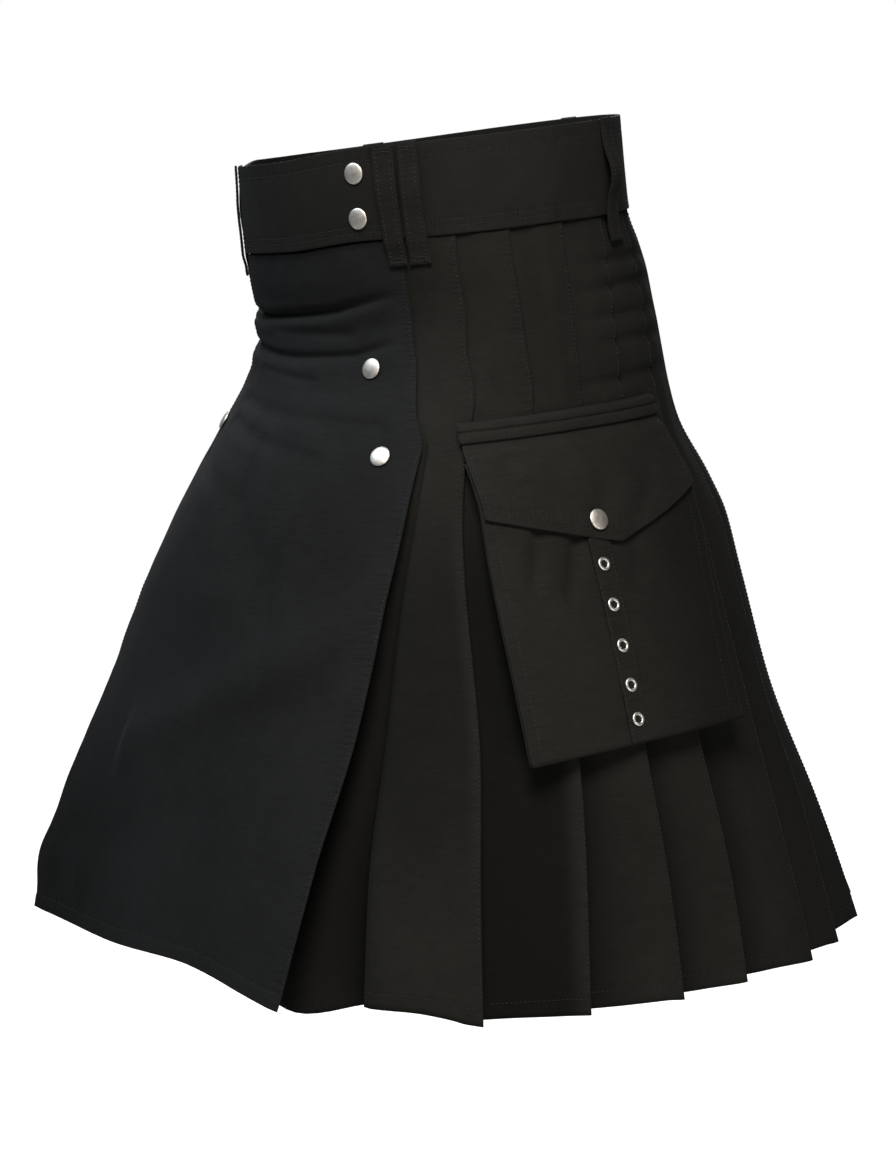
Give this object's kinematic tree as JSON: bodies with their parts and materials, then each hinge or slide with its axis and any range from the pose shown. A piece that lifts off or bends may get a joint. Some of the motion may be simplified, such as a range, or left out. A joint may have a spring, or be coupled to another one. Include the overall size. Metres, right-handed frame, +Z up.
{
  "type": "utility kilt",
  "caption": "Black cotton utility kilt in its worn form: flat snapped front apron, knife pleats, deep waistband with belt loops, and cargo pockets with pointed flaps and eyelets.",
  "frame": {"origin": "The middle of the waist opening at half the height of the waistband, where the wearer's waist holds the kilt up.", "axes": "+Z is up, +Y is towards the wearer's back, and +X is towards the wearer's left. The front apron faces -Y."},
  "size_m": [0.6256, 0.5868, 0.608],
  "materials": {
    "cotton_drill": "matt black cotton drill with a fine woven grain, pressed and topstitched in black thread",
    "snap_nickel": "satin antique nickel snap caps, softly domed",
    "eyelet_nickel": "bright nickel rolled eyelets"
  },
  "bodies": {
    "root": {"front_apron": "cotton_drill", "under_apron": "cotton_drill", "waistband_front": "cotton_drill", "waistband_back": "cotton_drill", "waistband_under": "cotton_drill", "pleats_left": "cotton_drill", "pleats_right": "cotton_drill", "belt_loop_apron_left": "cotton_drill", "belt_loop_apron_right": "cotton_drill", "belt_loop_side_left": "cotton_drill", "belt_loop_side_right": "cotton_drill", "belt_loop_rear_left": "cotton_drill", "belt_loop_rear_right": "cotton_drill", "belt_loop_back": "cotton_drill", "pocket_bag_left": "cotton_drill", "pocket_bag_right": "cotton_drill", "pocket_strip_left": "cotton_drill", "pocket_strip_right": "cotton_drill", "pocket_flap_left": "cotton_drill", "pocket_flap_right": "cotton_drill", "pocket_placket_left": "cotton_drill", "pocket_placket_right": "cotton_drill", "flap_snap_left": "snap_nickel", "flap_snap_right": "snap_nickel", "snap_band_top_left": "snap_nickel", "snap_band_low_left": "snap_nickel", "snap_apron_top_left": "snap_nickel", "snap_apron_low_left": "snap_nickel", "snap_apron_low_right": "snap_nickel", "eyelet_1_left": "eyelet_nickel", "eyelet_1_right": "eyelet_nickel", "eyelet_2_left": "eyelet_nickel", "eyelet_2_right": "eyelet_nickel", "eyelet_3_left": "eyelet_nickel", "eyelet_3_right": "eyelet_nickel", "eyelet_4_left": "eyelet_nickel", "eyelet_4_right": "eyelet_nickel", "eyelet_5_left": "eyelet_nickel", "eyelet_5_right": "eyelet_nickel"}
  },
  "joints": []
}
